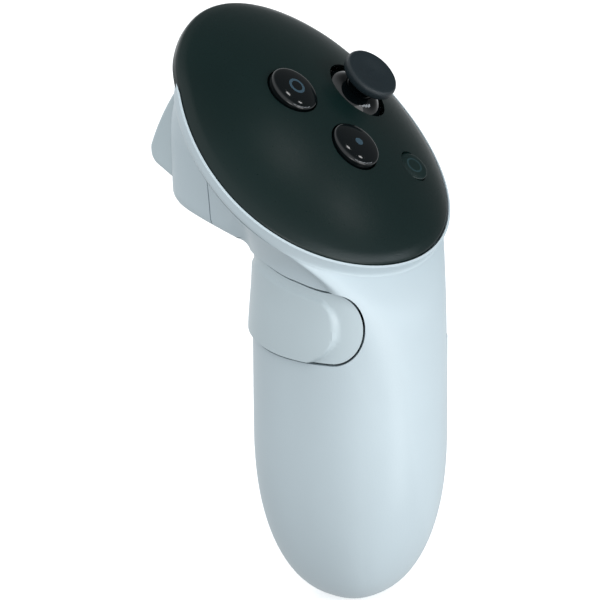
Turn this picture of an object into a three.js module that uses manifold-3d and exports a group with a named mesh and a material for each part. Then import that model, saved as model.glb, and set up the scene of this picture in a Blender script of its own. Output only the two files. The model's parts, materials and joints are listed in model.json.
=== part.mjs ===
// Hand-held motion controller for virtual reality, right hand, as an assembly of separate parts.
// Millimetres. +Z runs up the handle, +Y points forward, where the trigger faces, and +X is the
// user's right. The origin is the middle of the small flat under the handle.
import * as THREE from 'three';
import { mergeVertices } from 'three/addons/utils/BufferGeometryUtils.js';
import Module from 'manifold-3d';

const wasm = await Module();
wasm.setup();

// Driving dimensions
const GAP = 0.3; // clearance between neighbouring parts
const WALL = 2.2;
const HANDLE_X = 18.4; // half-widths of the handle's section
const HANDLE_Y = 20.6;
const HANDLE_POWER = 2.35; // exponent of its superellipse
const TAPER_HEIGHT = 38; // the foot's rounding ends here
const TAPER_POWER = 2.3;
const FOOT_CUT = 0.25; // how much of the rounding's tip is missing, which leaves the flat
const NECK_Z = 74; // height where the sides of the head leave the handle
const FACE_TILT = THREE.MathUtils.degToRad(46);
const FACE_CENTRE = new THREE.Vector3(-1, 5.3, 104.1);
const FACE_U = 35.5; // half-length of the face, fore and aft
const FACE_V = 34; // half-width
const FACE_EGG = 0.09; // how much wider its rear half is
const DROP_U = 5; // how far the dome falls at its front and rear ends
const DROP_V = 6.4; // and at its sides
const CROWN = 0.6; // how far the face stands above its rim, towards the middle
const RIM_WIDTH = 0.5; // the shell's lip beside the face plate
const RIM_BAND = 2.4; // height of the steep band under the rim
const PLATE_THICKNESS = 1.6;
const CHIN = new THREE.Vector2(40, 84.6); // y and z of the head's lower front edge
const CHIN_HALF_WIDTH = 16;
const CHIN_POWER = 8; // exponent of the outline of the head's underside
const CHIN_SLOPE = 0.29; // rise of the underside per millimetre forward
const BROW = 5; // how far the front wall bulges ahead of a straight line to the rim
const SEAM_Y = 24.9; // seam between the handle shell and the front housing
const HEAD_CORE = new THREE.Vector3(0, 4, 86); // a point well inside the head
const TRIGGER_HALF_WIDTH = 11.8;
const TRIGGER_PIVOT = new THREE.Vector2(31.5, 112.5); // y, z
const GRIP_PIVOT = new THREE.Vector2(-11.3, -10.2); // x, y
const GRIP_REACH = 29.1; // radius of the grip button's free end about its pin
const GRIP_LOW = 56;
const BUTTON_RADIUS = 5.55;
const SYSTEM_RADIUS = 3.5;
const BOARD_H = -8.6; // underside of the button board, below the face's centre
const MAIN_BOARD_H = -13.7;
const FLANGE_H = -3.7; // underside of a button's flange, below the face's surface
const STICK_DEPTH = 6.8; // stick pivot below the face's surface
const SKIRT_RADIUS = 9;
const BATTERY = { x: 2.5, y: -1.5, low: 9.5, radius: 7.1, length: 49.6 };
const DOOR = { from: -38, to: -142, low: 15, high: 58 };
const SCREW_X = 9.5; // screws that join the handle shell to the bracket behind the trigger
const AROUND = 36; // points in each section
const ROUND = 16; // facets of small round parts

// Places of the controls on the face: v across, u up its slope
const UPPER_BUTTON = { v: -5, u: 7.4 };
const LOWER_BUTTON = { v: 1.8, u: -8.6 };
const SYSTEM_BUTTON = { v: 18.3, u: -14.7 };
const STICK = { v: 15.2, u: 5.6 };
const BOARD_SCREWS = [[-14.2, -3.5], [-9.5, -18.5], [8.3, -17], [-8, 16.5]];

const faceMatrix = new THREE.Matrix4().makeRotationX(FACE_TILT).setPosition(FACE_CENTRE);

// Materials
const finish = (color, roughness, metalness = 0) =>
  new THREE.MeshStandardMaterial({ color, roughness, metalness });
const shellPlastic = finish(0xc4cfd6, 0.5);
const facePlastic = finish(0x1f2c2c, 0.55);
const glossPlastic = finish(0x0c1012, 0.15);
const darkPlastic = finish(0x2b2e31, 0.6);
const rubber = finish(0x3a3d40, 0.85);
const steel = finish(0xb8bbbe, 0.3, 1);
const magnet = finish(0x8d9196, 0.35, 1);
const circuit = finish(0x1d5a3a, 0.5);
const cellWrap = finish(0x3c6f9e, 0.4);

// Solids
function toSolid(geometry) {
  const plain = geometry.clone();
  plain.deleteAttribute('normal');
  plain.deleteAttribute('uv');
  const merged = mergeVertices(plain, 1e-4);
  return new wasm.Manifold(new wasm.Mesh({
    numProp: 3,
    vertProperties: new Float32Array(merged.attributes.position.array),
    triVerts: new Uint32Array(merged.index.array),
  }));
}

function toGeometry(solid) {
  const mesh = solid.getMesh();
  const geometry = new THREE.BufferGeometry();
  geometry.setAttribute('position', new THREE.BufferAttribute(mesh.vertProperties, 3));
  geometry.setIndex(new THREE.BufferAttribute(mesh.triVerts, 1));
  return geometry;
}

// Closed body through rings of points that run anticlockwise seen from the last ring.
function loft(rings) {
  const count = rings[0].length;
  const points = rings.flat();
  const index = [];
  for (let i = 0; i + 1 < rings.length; i++) {
    for (let j = 0; j < count; j++) {
      const a = i * count + j;
      const b = i * count + (j + 1) % count;
      index.push(a, b, b + count, a, b + count, a + count);
    }
  }
  const middle = (ring) => ring.reduce((sum, p) => sum.add(p), new THREE.Vector3()).divideScalar(count);
  const first = points.push(middle(rings[0])) - 1;
  const last = points.push(middle(rings[rings.length - 1])) - 1;
  const top = (rings.length - 1) * count;
  for (let j = 0; j < count; j++) {
    const next = (j + 1) % count;
    index.push(first, next, j, last, top + j, top + next);
  }
  const geometry = new THREE.BufferGeometry().setFromPoints(points);
  geometry.setIndex(index);
  return geometry;
}

const ring = (pointAt, count = AROUND) =>
  Array.from({ length: count }, (_, i) => pointAt((2 * Math.PI * i) / count));

function cylinder(radius, low, high, x = 0, y = 0, sides = ROUND) {
  const geometry = new THREE.CylinderGeometry(radius, radius, high - low, sides);
  return geometry.rotateX(Math.PI / 2).translate(x, y, (low + high) / 2);
}

function box(x0, x1, y0, y1, z0, z1) {
  const geometry = new THREE.BoxGeometry(x1 - x0, y1 - y0, z1 - z0);
  return geometry.translate((x0 + x1) / 2, (y0 + y1) / 2, (z0 + z1) / 2);
}

// A round part about the local Z axis from a profile of [radius, height] that starts and ends on it.
function turned(profile, sides = ROUND) {
  const points = profile.map(([r, z]) => new THREE.Vector2(r, z));
  return new THREE.LatheGeometry(points, sides).rotateX(Math.PI / 2);
}

// A side outline in the Y-Z plane, as deep as the given half-width to each side.
function sideProfile(shape, halfWidth, curveSteps = 6) {
  const geometry = new THREE.ExtrudeGeometry(shape, {
    depth: 2 * halfWidth, bevelEnabled: false, curveSegments: curveSteps,
  });
  geometry.translate(0, 0, -halfWidth);
  const turn = new THREE.Matrix4().makeBasis(
    new THREE.Vector3(0, 1, 0), new THREE.Vector3(0, 0, 1), new THREE.Vector3(1, 0, 0));
  return geometry.applyMatrix4(turn);
}

function polygon(points) {
  return new THREE.Shape(points.map(([x, y]) => new THREE.Vector2(x, y)));
}

function join(first, ...others) {
  return others.reduce((sum, other) => sum.add(toSolid(other)), toSolid(first));
}

function cut(first, ...others) {
  const base = first instanceof THREE.BufferGeometry ? toSolid(first) : first;
  return others.reduce((rest, other) => rest.subtract(
    other instanceof THREE.BufferGeometry ? toSolid(other) : other), base);
}

// A coil spring along the local Z axis.
class Helix extends THREE.Curve {
  constructor(radius, height, turns) {
    super();
    Object.assign(this, { radius, height, turns });
  }

  getPoint(t, target = new THREE.Vector3()) {
    const angle = 2 * Math.PI * this.turns * t;
    return target.set(this.radius * Math.cos(angle), this.radius * Math.sin(angle), this.height * t);
  }
}

function coil(radius, wire, height, turns) {
  const section = new THREE.Shape();
  section.absarc(0, 0, wire / 2, 0, 2 * Math.PI, false);
  return new THREE.ExtrudeGeometry(polygon(section.getSpacedPoints(5).slice(0, 5).map((p) => [p.x, p.y])), {
    steps: Math.round(turns * 8), bevelEnabled: false, extrudePath: new Helix(radius, height, turns),
  });
}

// The outer body. Angles run from +Y, the front, towards -X, the left.
const signedPower = (value, power) => Math.sign(value) * Math.abs(value) ** power;

function taper(z) {
  const depth = Math.min(Math.max((z + FOOT_CUT) / TAPER_HEIGHT, 0), 1);
  return (1 - (1 - depth) ** TAPER_POWER) ** (1 / TAPER_POWER);
}

// A point on the handle's surface, or as far under it as the inset.
function handlePoint(angle, z, inset = 0) {
  const shrink = taper(inset > 0 ? (z - inset) * TAPER_HEIGHT / (TAPER_HEIGHT - inset) : z);
  return new THREE.Vector3(
    -(HANDLE_X - inset) * shrink * signedPower(Math.sin(angle), 2 / HANDLE_POWER),
    (HANDLE_Y - inset) * shrink * signedPower(Math.cos(angle), 2 / HANDLE_POWER),
    z,
  );
}

// The face's height. Its crown rolls off near the rim.
function domeHeight(v, u, crown = CROWN) {
  const reach = Math.min(Math.hypot(u / FACE_U, v / FACE_V), 1);
  return -DROP_U * (u / FACE_U) ** 2 - DROP_V * (v / FACE_V) ** 2 + crown * (1 - reach ** 9);
}

// Height that a control is set from: the face's, less the crown
const surface = ({ v, u }) => domeHeight(v, u, 0);

// A point of the face in its own frame: x across, y forward and up the slope, z off the face.
function facePoint(angle, inset, height, reach = 1) {
  const u = (FACE_U - inset) * Math.cos(angle) * reach;
  const v = -(FACE_V - inset) * Math.sin(angle) * (1 - FACE_EGG * Math.cos(angle)) * reach;
  return new THREE.Vector3(v, u, domeHeight(v, u, reach < 1 ? CROWN : 0) + height);
}

// 1 along the face's front edge, where the shell has no lip and turns in under the plate
const lipless = (angle) => THREE.MathUtils.smoothstep(Math.cos(angle), 0.4, 0.68);

// The head's side at one angle: a broken line with rounded corners, from the handle to the rim.
function flareProfile(angle, inset, height) {
  const c = Math.cos(angle);
  const neckHeight = NECK_Z + (c > 0 ? 6.2 : -14) * c * c;
  const neck = handlePoint(angle, neckHeight, inset);
  const rim = facePoint(angle, inset, height).applyMatrix4(faceMatrix);
  const underRim = facePoint(angle, 0.1 + 2 * lipless(angle), -RIM_BAND).applyMatrix4(faceMatrix);
  const along = handlePoint(angle, neckHeight).sub(underRim).normalize();
  const inwards = HEAD_CORE.clone().sub(underRim);
  inwards.addScaledVector(along, -inwards.dot(along)).normalize();
  underRim.addScaledVector(inwards, inset);

  // the underside's edge lies on a boxy outline, in the same direction as the rim
  const heading = Math.atan2(rim.x, rim.y);
  const across = Math.abs(Math.sin(heading) / (CHIN_HALF_WIDTH - inset)) ** CHIN_POWER;
  const ahead = Math.abs(Math.cos(heading) / (CHIN.x - inset)) ** CHIN_POWER;
  const reach = (across + ahead) ** (-1 / CHIN_POWER);
  const chinY = reach * Math.cos(heading);
  const chin = new THREE.Vector3(reach * Math.sin(heading), chinY,
    CHIN.y + inset - CHIN_SLOPE * (CHIN.x - chinY));
  const frontness = THREE.MathUtils.smoothstep(Math.cos(heading), 0.4, 0.8);
  const corner = neck.clone().lerp(underRim, 0.75).lerp(chin, frontness);
  const brow = corner.clone().lerp(underRim, 0.5);
  brow.y += BROW * THREE.MathUtils.smoothstep(Math.cos(heading), 0.7, 0.95);

  const points = [handlePoint(angle, neck.z - 10, inset)];
  const round = (before, at, after, trim, trimAfter, steps) => {
    const into = at.clone().lerp(before, Math.min(trim / at.distanceTo(before), 0.48));
    const out = at.clone().lerp(after, Math.min(trimAfter / at.distanceTo(after), 0.62));
    points.push(...new THREE.QuadraticBezierCurve3(into, at, out).getPoints(steps));
  };
  round(points[0], neck, corner, 4, 4 + 20 * (1 - frontness), 5);
  round(neck, corner, brow, 3, 3, 3);
  round(corner, brow, underRim, 6, 6, 2);
  points.push(underRim, rim);
  return points;
}

function bodyRings(inset, height) {
  const rings = [];
  for (let i = 0; i <= 6; i++) {
    const z = inset + (TAPER_HEIGHT - inset) * (1 - Math.cos((Math.PI * i) / 12));
    rings.push(ring((angle) => handlePoint(angle, z, inset)));
  }
  const flare = ring((angle) => flareProfile(angle, inset, height));
  for (let i = 0; i < flare[0].length; i++) {
    rings.push(flare.map((profile) => profile[i]));
  }
  rings.push(ring((angle) => facePoint(angle, inset, height, 0.6).applyMatrix4(faceMatrix)));
  return rings;
}

// A slab that follows the face's dome, in the face's own frame. Its inset from the rim can vary.
function domeSlab(insetAt, low, high) {
  const reaches = [0.02, 0.3, 0.55, 0.75, 0.88, 0.95, 1];
  return loft([
    ...reaches.map((reach) => ring((angle) => facePoint(angle, insetAt(angle), low, reach))),
    ...reaches.reverse().map((reach) => ring((angle) => facePoint(angle, insetAt(angle), high, reach))),
  ]);
}

const onFace = (geometry) => geometry.applyMatrix4(faceMatrix);

// A patch of the handle's wall. Its columns run towards smaller angles, and each has an angle in
// degrees and the heights of its two edges; outer and inner give the inset at an angle and height.
function wallPatch(columns, outer, inner, rows = 4) {
  const side = (depth) => columns.map(({ angle, low, high }) =>
    Array.from({ length: rows + 1 }, (_, j) => {
      const z = low + ((high - low) * j) / rows;
      return wallPoint(angle, z, depth(angle, z));
    }));
  const out = side(outer);
  const back = side(inner);
  // each column's section is one ring: up the outer side, then down the inner one
  return loft(columns.map((_, i) => [...out[i], ...back[i].reverse()]));
}

// The same surface point as handlePoint, moved straight inwards instead of shrunk.
function wallPoint(degrees, z, inset) {
  const angle = THREE.MathUtils.degToRad(degrees);
  const point = handlePoint(angle, z);
  const inwards = new THREE.Vector3(Math.sin(angle), -Math.cos(angle), 0);
  return point.addScaledVector(inwards, inset);
}

// Columns of a patch with a round end of the given radius at its first angle.
function roundedColumns(from, to, low, high, radius, arc) {
  const turn = Math.sign(to - from);
  const columns = [];
  for (const sweep of [14, 34, 54, 72, 90]) {
    const s = THREE.MathUtils.degToRad(sweep);
    const angle = from + (turn * radius * (1 - Math.cos(s)) * 180) / (Math.PI * arc);
    const middle = (low(angle) + high(angle)) / 2;
    const half = ((high(angle) - low(angle)) / 2) * Math.sin(s);
    columns.push({ angle, low: middle - half, high: middle + half });
  }
  const start = columns[columns.length - 1].angle;
  const steps = Math.ceil(Math.abs(to - start) / 9);
  for (let i = 1; i <= steps; i++) {
    const angle = start + ((to - start) * i) / steps;
    columns.push({ angle, low: low(angle), high: high(angle) });
  }
  return columns;
}

// Grip button: a pad that wraps round the handle's left and front.
const gripTop = (angle) => 70.8 + 4.8 * THREE.MathUtils.smoothstep(113 - angle, 0, 62);
const gripLow = (angle) => GRIP_LOW + 3.9 * THREE.MathUtils.smoothstep(100 - angle, 0, 75);

function gripPatch(frontAngle, grow, outer, inner) {
  const low = (angle) => gripLow(angle) - grow * (1 + THREE.MathUtils.smoothstep(100 - angle, 0, 40));
  const columns = roundedColumns(134.6 + grow * 3, frontAngle, low, (angle) => gripTop(angle) + grow,
    7.4 + grow, 19.8);
  return wallPatch(columns, outer, inner);
}

// The pad stands proud at its lower front and sinks a little at its top.
function gripBulge(angle, z) {
  const fromRear = THREE.MathUtils.smoothstep(120 - angle, 0, 14);
  const fromFront = THREE.MathUtils.smoothstep(angle - 22, 0, 20);
  const fromLow = THREE.MathUtils.smoothstep(z, 58, 74);
  return fromRear * fromFront * (1.6 * fromLow - 1.1);
}

const gripSwing = (radius) => cylinder(radius, 40, 90, GRIP_PIVOT.x, GRIP_PIVOT.y, 64);

function gripButton() {
  const pad = toSolid(gripPatch(17, 0, gripBulge, () => WALL));
  const barrel = toSolid(cylinder(3, GRIP_LOW + 0.4, 70.4, GRIP_PIVOT.x, GRIP_PIVOT.y));
  const bore = cylinder(0.9 + GAP, 50, 80, GRIP_PIVOT.x, GRIP_PIVOT.y);
  return cut(pad.intersect(toSolid(gripSwing(GRIP_REACH))).add(barrel), bore);
}

// Battery door on the right.
function doorPatch(grow, outer, inner) {
  const from = DOOR.from + grow * 3;
  const to = DOOR.to - grow * 3;
  const columns = [];
  for (let i = 0; i <= 12; i++) {
    columns.push({ angle: from + ((to - from) * i) / 12, low: DOOR.low - grow, high: DOOR.high + grow });
  }
  return wallPatch(columns, () => outer, () => inner);
}

// The block ahead of the seam between the handle shell and the front housing.
const frontBlock = (shift) => box(-40, 40, SEAM_Y + shift, 60, 70, 150);

// The wall shared by the handle shell and the front housing.
function bodyWall() {
  const outer = loft(bodyRings(0, 0));
  const cavity = loft(bodyRings(WALL + 0.3, 1));
  const recessInset = (angle) => RIM_WIDTH - (RIM_WIDTH + 1.5) * lipless(angle);
  const recess = onFace(domeSlab(recessInset, -PLATE_THICKNESS - GAP, 3));
  const stickRoom = onFace(box(-5.8, 5.8, -5.8, 5.8, -5, 4)
    .translate(STICK.v, STICK.u, surface(STICK) - STICK_DEPTH));
  const core = loft(bodyRings(WALL / 2, -2)); // bosses and lugs end inside the wall
  return { core: toSolid(core), wall: cut(outer, cavity, recess, stickRoom) };
}

const body = bodyWall();

// Whatever lies inside the walls, at least the given distance from the outside.
const inside = (geometry, inset) => toSolid(geometry).intersect(toSolid(loft(bodyRings(inset, -2))));

function gripLug(z) {
  const lug = box(-3, 3, -7, 3.2, z, z + 2);
  lug.rotateZ(Math.atan2(GRIP_PIVOT.x, -GRIP_PIVOT.y));
  return lug.translate(GRIP_PIVOT.x, GRIP_PIVOT.y, 0);
}

function handleShell() {
  // behind its front edge the opening is deep enough for the button's end to swing into
  const gripOpening = toSolid(gripPatch(1, GAP, () => -5, () => 5)).intersect(toSolid(gripSwing(GRIP_REACH + GAP)));
  const doorOpening = doorPatch(GAP, -5, 5);
  const bosses = [-SCREW_X, SCREW_X].map((x) => cylinder(2.5, 77, 84, x, 22.4));
  const lugs = join(gripLug(GRIP_LOW - 2.6), gripLug(71.2), box(-5.4, 5.4, 7.6, 14, 1, 9.5), ...bosses);
  const solid = body.wall.add(lugs.intersect(body.core));
  const screwHoles = [-SCREW_X, SCREW_X].flatMap((x) => [
    cylinder(1.2, 70, 90, x, 22.4),
    cylinder(2, 70, 81.6, x, 22.4),
  ]);
  return cut(
    cut(solid, gripOpening, doorOpening, frontBlock(0)),
    cylinder(0.9 + GAP, 40, 90, GRIP_PIVOT.x, GRIP_PIVOT.y),
    cylinder(3 + GAP, GRIP_LOW - 0.2, 70.9, GRIP_PIVOT.x, GRIP_PIVOT.y),
    box(-3.7, 3.7, 9.2, 22, 3.6, 7.4),
    ...screwHoles,
  );
}

function frontHousing() {
  const front = body.wall.intersect(toSolid(frontBlock(GAP)));
  const { x: pivotY, y: pivotZ } = TRIGGER_PIVOT;
  const slot = TRIGGER_HALF_WIDTH + 0.4;
  const bosses = [-1, 1].map((s) => {
    const boss = cylinder(2.8, slot, 19).rotateY((s * Math.PI) / 2);
    return toSolid(boss.translate(0, pivotY, pivotZ)).intersect(body.core);
  });
  const window = box(-slot, slot, 28, 60, 86, pivotZ + 2.5);
  const knuckleRoom = cylinder(3.5, -slot, slot).rotateY(Math.PI / 2).translate(0, pivotY, pivotZ);
  const pinHole = cylinder(1 + GAP, -14, 14).rotateY(Math.PI / 2).translate(0, pivotY, pivotZ);
  return cut(bosses.reduce((sum, boss) => sum.add(boss), front), window, knuckleRoom, pinHole);
}

// Face plate with its holes and the posts that the button board is screwed to.
function facePlate() {
  const plateInset = (angle) => (RIM_WIDTH + GAP) * (1 - lipless(angle));
  const plate = toSolid(domeSlab(plateInset, -PLATE_THICKNESS, 0));
  const posts = BOARD_SCREWS.map(([v, u]) => cylinder(2.2, BOARD_H + 1.3, domeHeight(v, u) - 1, v, u));
  const pilots = BOARD_SCREWS.map(([v, u]) => cylinder(1.2, -12, domeHeight(v, u) - 1.4, v, u));
  const stickHole = turned([[0, -4], [9, -4], [7, 0.4], [7, 3], [0, 3]], 28);
  stickHole.translate(STICK.v, STICK.u, domeHeight(STICK.v, STICK.u));
  return cut(
    posts.reduce((sum, post) => sum.add(toSolid(post)), plate),
    ...pilots,
    cylinder(BUTTON_RADIUS + 0.35, -5, 3, UPPER_BUTTON.v, UPPER_BUTTON.u, 26),
    cylinder(BUTTON_RADIUS + 0.35, -5, 3, LOWER_BUTTON.v, LOWER_BUTTON.u, 26),
    cylinder(SYSTEM_RADIUS + GAP, -8, 3, SYSTEM_BUTTON.v, SYSTEM_BUTTON.u, 22),
    stickHole,
  );
}

// A face button: a retaining flange under the plate and a domed top.
function faceButton(radius, rise) {
  const edge = 0.5 * rise;
  const crown = [1, 0.85, 0.6, 0.3].map((k) => [radius * Math.sin((k * Math.PI) / 2),
    edge + (rise - edge) * Math.cos((k * Math.PI) / 2)]);
  const foot = [[0, FLANGE_H], [radius + 0.9, FLANGE_H], [radius + 0.9, FLANGE_H + 0.6], [radius, FLANGE_H + 0.6]];
  return turned([...foot, ...crown, [0, rise]], 22);
}

// The rubber dome under a button, from the board up to just under the button.
function switchDome(radius, height) {
  return turned([[0, 0], [radius, 0], [radius * 0.8, height * 0.5], [radius * 0.5, height], [0, height]]);
}

// Thumbstick, about its pivot
function stickCap() {
  return turned([[0, 11.7], [3.6, 11.7], [4, 11.4], [5.5, 11.4], [6.3, 12.1], [6.3, 12.9], [5.9, 13.5],
    [4.9, 13.7], [2.4, 13.3], [0, 13.2]], 24);
}

// The dome that closes the hole round the stick: its inner surface out, then its outer one back.
function stickSkirt() {
  const arc = (radius, angles) => angles.map((degrees) => {
    const polar = THREE.MathUtils.degToRad(degrees);
    return [radius * Math.sin(polar), radius * Math.cos(polar)];
  });
  const angles = [0, 16, 34, 52, 71];
  const inner = arc(SKIRT_RADIUS - 1.1, angles);
  const outer = arc(SKIRT_RADIUS, angles.reverse());
  return cut(turned([...inner, ...outer], 26), cylinder(3.2 + GAP, 5, 12));
}

function stickStem() {
  const stem = turned([[0, -2.7], [0.9, -2.7], [0.9, -1.2], [1.5, -1], [1.5, 6], [3.2, 7.4], [3.2, 11.3],
    [0, 11.3]]);
  return cut(stem, box(-0.8, 0.8, -3, 3, -0.8, 1.2));
}

// The frame that tips fore and aft, with trunnions along X and holes for the cross pin.
function pitchYoke() {
  const trunnions = cylinder(0.8, -7.1, 7).rotateY(Math.PI / 2);
  const frame = join(box(-3.9, 3.9, -2.9, 2.9, -0.8, 0.8), trunnions);
  return cut(frame, box(-3.1, 3.1, -1.9, 1.9, -2, 2), cylinder(0.7, -4, 4).rotateX(Math.PI / 2));
}

// The cradle under it that follows the stick sideways, with trunnions along Y.
function rollYoke() {
  const sides = [-1, 1].map((s) => box(-1.8, 1.8, s * 3.65 - 0.35, s * 3.65 + 0.35, -2.9, 0.9));
  const trunnions = [-1, 1].map((s) => cylinder(0.8, 3.6, 6.9).rotateX((-s * Math.PI) / 2));
  return cut(join(box(-1.8, 1.8, -4, 4, -2.9, -2.3), ...sides, ...trunnions), box(-1.2, 1.2, -2.7, 2.7, -4, 1.5));
}

function stickHousing() {
  const half = 5.4;
  const round = 1.5;
  const outline = new THREE.Shape();
  [[1, 1], [-1, 1], [-1, -1], [1, -1]].forEach(([x, y], k) => {
    const start = (k * Math.PI) / 2;
    outline.absarc(x * (half - round), y * (half - round), round, start, start + Math.PI / 2, false);
  });
  const block = new THREE.ExtrudeGeometry(outline, { depth: 6.8, bevelEnabled: false, curveSegments: 2 });
  return cut(
    block.translate(0, 0, -4.1),
    box(-4.6, 4.6, -4.6, 4.6, -3.5, 2),
    cylinder(3.6, 0, 4),
    cylinder(1.1, -7, 7).rotateY(Math.PI / 2),
    cylinder(1.1, -7, 7).rotateX(Math.PI / 2),
  );
}

const positionSensor = () => cut(box(5.7, 7, -2.6, 2.6, -4, 1), cylinder(1.1, 5, 8).rotateY(Math.PI / 2));

// Boards lie parallel to the face and are trimmed to the walls.
function board(outline, low, thickness, inset, holes = []) {
  const slab = new THREE.ExtrudeGeometry(outline, { depth: thickness, bevelEnabled: false });
  const cutters = holes.map(([v, u]) => onFace(cylinder(1.2, low - 2, low + 3, v, u)));
  const reach = toSolid(onFace(domeSlab(() => 8.6, -20, 0)));
  return cut(inside(onFace(slab.translate(0, 0, low)), inset).intersect(reach), ...cutters);
}

// A ring of small lamps under the plate, which shine through it for the headset's cameras.
function lightStrip() {
  const band = cut(
    domeSlab(() => 6.8, -3.6, -3.2),
    domeSlab(() => 9, -6, 2),
    cylinder(SYSTEM_RADIUS + 1.4, -12, 0, SYSTEM_BUTTON.v, SYSTEM_BUTTON.u),
    cylinder(SKIRT_RADIUS + 1.3, -12, 0, STICK.v, STICK.u),
  );
  const lamps = [20, 65, 110, 155, 205, 250, 303, 340].map((degrees) => {
    const spot = facePoint(THREE.MathUtils.degToRad(degrees), 7.9, -3.3);
    return box(-0.8, 0.8, -0.8, 0.8, 0, 0.9).translate(spot.x, spot.y, spot.z);
  });
  return lamps.reduce((sum, lamp) => sum.add(toSolid(lamp)), band);
}

// Trigger: a wedge that hangs from its knuckle, hollow behind.
function trigger() {
  const { x: y, y: z } = TRIGGER_PIVOT;
  const side = new THREE.Shape();
  side.moveTo(y + 5.2, z - 1.6);
  side.quadraticCurveTo(y + 3.6, z + 3, y, z + 3);
  side.absarc(y, z, 3, Math.PI / 2, Math.PI * 1.2, false);
  side.lineTo(y + 0.5, z - 11);
  side.lineTo(y + 6, z - 25.4);
  side.lineTo(y + 10, z - 23.4);
  side.lineTo(y + 13.4, z - 21.6);
  side.quadraticCurveTo(y + 16, z - 20.4, y + 15.6, z - 17.2);
  side.quadraticCurveTo(y + 12.3, z - 9.2, y + 5.2, z - 1.6);
  const pocket = polygon([[y - 4, z - 9], [y + 6, z - 9], [y + 12.6, z - 17.4], [y + 12.6, z - 19.4],
    [y + 9.4, z - 21.2], [y + 6.6, z - 22.4], [y - 4, z - 22.4]]);
  return cut(
    sideProfile(side, TRIGGER_HALF_WIDTH),
    sideProfile(pocket, TRIGGER_HALF_WIDTH - 1.8),
    cylinder(1 + GAP, -20, 20).rotateY(Math.PI / 2).translate(0, y, z),
  );
}

// An angle bracket behind the trigger. Two screws through the handle shell hold its foot.
function triggerBracket() {
  const angle = join(box(-16, 16, 20.6, 21.8, 86.3, 97), box(-13, 13, 20.6, 24.6, 86.3, 87.5));
  const holes = [-SCREW_X, SCREW_X].map((x) => cylinder(1.2, 80, 92, x, 22.4));
  return cut(angle.intersect(toSolid(loft(bodyRings(WALL + 0.8, -2)))), ...holes);
}

// A pan-head screw, head at the origin and shaft towards +Z.
const screw = (shaft, length, head) => turned([[0, 0], [head, 0], [head, 1.2], [shaft, 1.2], [shaft, length],
  [0, length]], 14);

// Battery and its tray
function batteryCell() {
  const { low, radius, length } = BATTERY;
  return turned([[0, low], [radius, low], [radius, low + length - 1.5], [2.6, low + length - 1.5],
    [2.6, low + length], [0, low + length]], 28).translate(BATTERY.x, BATTERY.y, 0);
}

function batteryTray() {
  const { x, y, low, radius, length } = BATTERY;
  const top = low + length + 1.6;
  const tube = cylinder(radius + 1.6, low - 5.6, top + 1.4, x, y, 28);
  return cut(
    inside(tube, WALL + 0.6),
    cylinder(radius + 0.4, low - 4.4, top, x, y, 28),
    box(x + 1, x + 20, y - 20, y + 20, low - 4.4, top),
  );
}

// Scene
const controller = new THREE.Group();
const face = new THREE.Group();
face.position.copy(FACE_CENTRE);
face.rotation.x = FACE_TILT;
const stick = new THREE.Group();
stick.position.set(STICK.v, STICK.u, surface(STICK) - STICK_DEPTH);
face.add(stick);
controller.add(face);

function place(parent, name, shape, material, x = 0, y = 0, z = 0) {
  const geometry = shape instanceof THREE.BufferGeometry ? shape : toGeometry(shape);
  const mesh = new THREE.Mesh(geometry, material);
  mesh.name = name;
  mesh.position.set(x, y, z);
  parent.add(mesh);
  return mesh;
}

place(controller, 'handle_shell', handleShell(), shellPlastic);
place(controller, 'front_housing', frontHousing(), shellPlastic);
place(controller, 'grip_button', gripButton(), shellPlastic);
place(controller, 'battery_door', doorPatch(0, 0, WALL), shellPlastic);
place(controller, 'trigger', trigger(), shellPlastic);
place(face, 'face_plate', facePlate(), facePlastic);

place(face, 'upper_button', faceButton(BUTTON_RADIUS, 2.3), glossPlastic,
  UPPER_BUTTON.v, UPPER_BUTTON.u, surface(UPPER_BUTTON));
place(face, 'lower_button', faceButton(BUTTON_RADIUS, 2.3), glossPlastic,
  LOWER_BUTTON.v, LOWER_BUTTON.u, surface(LOWER_BUTTON));
place(face, 'system_button', faceButton(SYSTEM_RADIUS, 0.95), facePlastic,
  SYSTEM_BUTTON.v, SYSTEM_BUTTON.u, surface(SYSTEM_BUTTON));

place(stick, 'thumbstick_cap', stickCap(), rubber);
place(stick, 'thumbstick_skirt', stickSkirt(), glossPlastic);
place(stick, 'thumbstick_stem', stickStem(), darkPlastic);
place(stick, 'stick_cross_pin', cylinder(0.5, -2.8, 2.8, 0, 0, 12).rotateX(Math.PI / 2), steel);
place(stick, 'stick_pitch_yoke', pitchYoke(), darkPlastic);
place(stick, 'stick_roll_yoke', rollYoke(), darkPlastic);
place(stick, 'stick_housing', stickHousing(), steel);
place(stick, 'pitch_sensor', positionSensor().rotate([0, 0, 180]), darkPlastic);
place(stick, 'roll_sensor', positionSensor().rotate([0, 0, 90]), darkPlastic);
place(stick, 'click_switch', box(-2.4, 2.4, -8.6, -5.7, -4.1, -1.2), darkPlastic);

const boardTop = BOARD_H + 1;
const domeSpace = (button) => surface(button) + FLANGE_H - 1.4 - (boardTop + GAP);
place(face, 'upper_switch_dome', switchDome(4.6, domeSpace(UPPER_BUTTON)), rubber,
  UPPER_BUTTON.v, UPPER_BUTTON.u, boardTop + GAP);
place(face, 'lower_switch_dome', switchDome(4.6, domeSpace(LOWER_BUTTON)), rubber,
  LOWER_BUTTON.v, LOWER_BUTTON.u, boardTop + GAP);
place(face, 'system_switch_dome', switchDome(3, 0.4), rubber,
  SYSTEM_BUTTON.v, SYSTEM_BUTTON.u, boardTop + GAP);

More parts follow.
